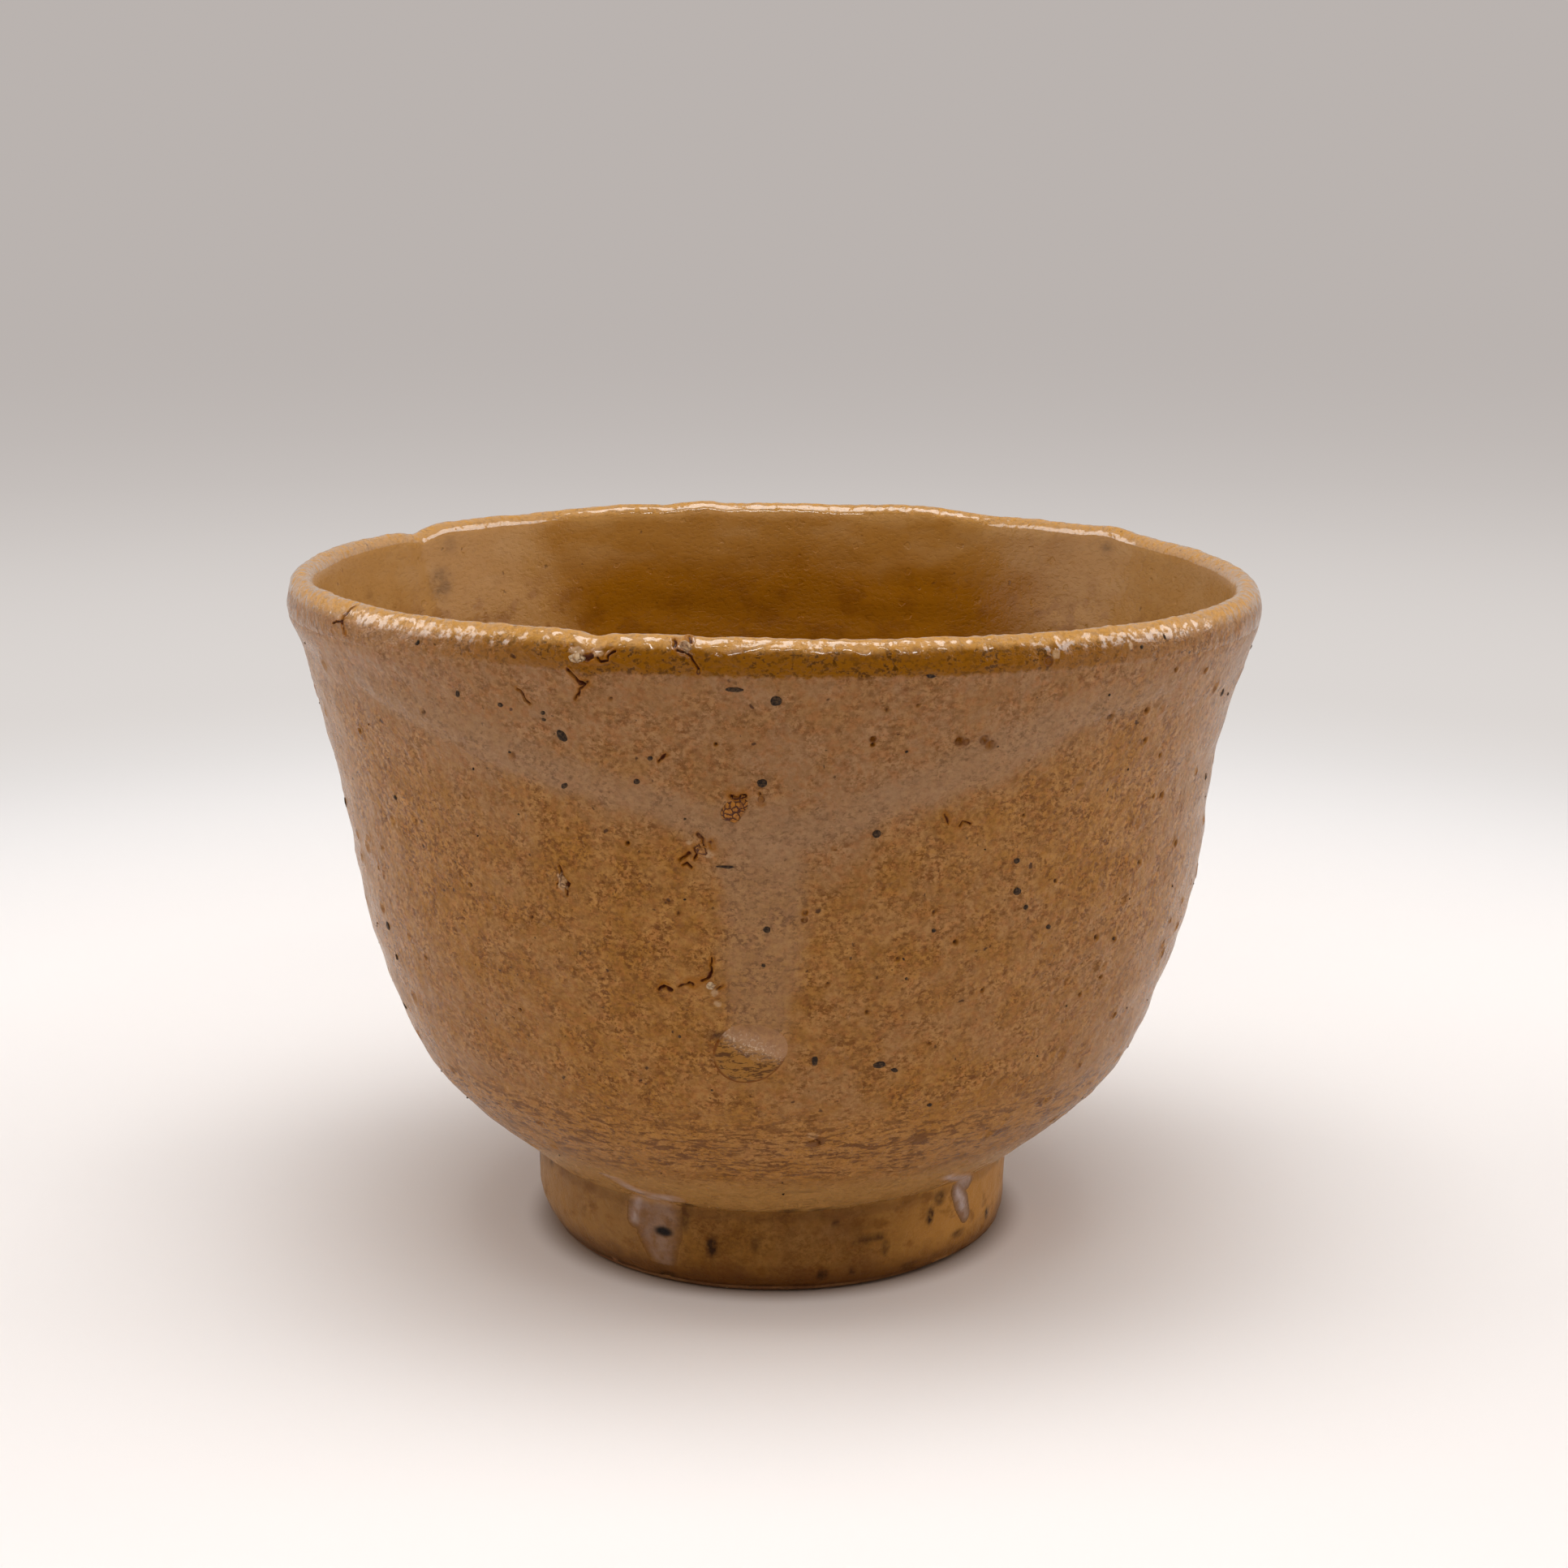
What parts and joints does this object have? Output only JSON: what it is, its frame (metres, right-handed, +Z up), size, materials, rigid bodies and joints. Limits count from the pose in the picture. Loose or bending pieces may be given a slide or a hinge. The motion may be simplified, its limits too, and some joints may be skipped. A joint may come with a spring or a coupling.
{
  "type": "sake cup",
  "caption": "Small round stoneware drinking cup with a flared lip, curved wall, open well and turned foot ring, coated in ochre and amber glaze with a pale forked run.",
  "frame": {"origin": "on the cup's axis, at the plane that the foot ring stands on", "axes": "+Z up along the axis to the lip, -Y to the front where the forked run is, +X to the right seen from the front"},
  "size_m": [0.074, 0.074, 0.0521],
  "materials": {
    "stoneware": "bare fired stoneware, matt and gritty",
    "slip": "fired slip, matt",
    "ochre_glaze": "glossy ochre glaze with brown peppering",
    "amber_glaze": "glossy deep amber glaze",
    "lip_glaze": "glossy tan glaze with an olive-amber edge",
    "foot_glaze": "thin glossy tan glaze with brown stains",
    "pale_glaze": "glossy pinkish grey glaze, thick",
    "bead_glaze": "clear amber glaze with a dark rim",
    "drip_glaze": "milky violet-grey glaze, glossy",
    "feldspar": "cream feldspar, broken and partly melted"
  },
  "bodies": {
    "root": {"clay_bowl": "stoneware", "foot_ring": "stoneware", "lute_slip": "slip", "outer_glaze": "ochre_glaze", "inner_glaze": "amber_glaze", "lip_glaze": "lip_glaze", "foot_glaze": "foot_glaze", "glaze_swag": "pale_glaze", "run_bead": "bead_glaze", "foot_drips": "drip_glaze", "lip_stones": "feldspar", "wall_stones": "feldspar"}
  },
  "joints": []
}
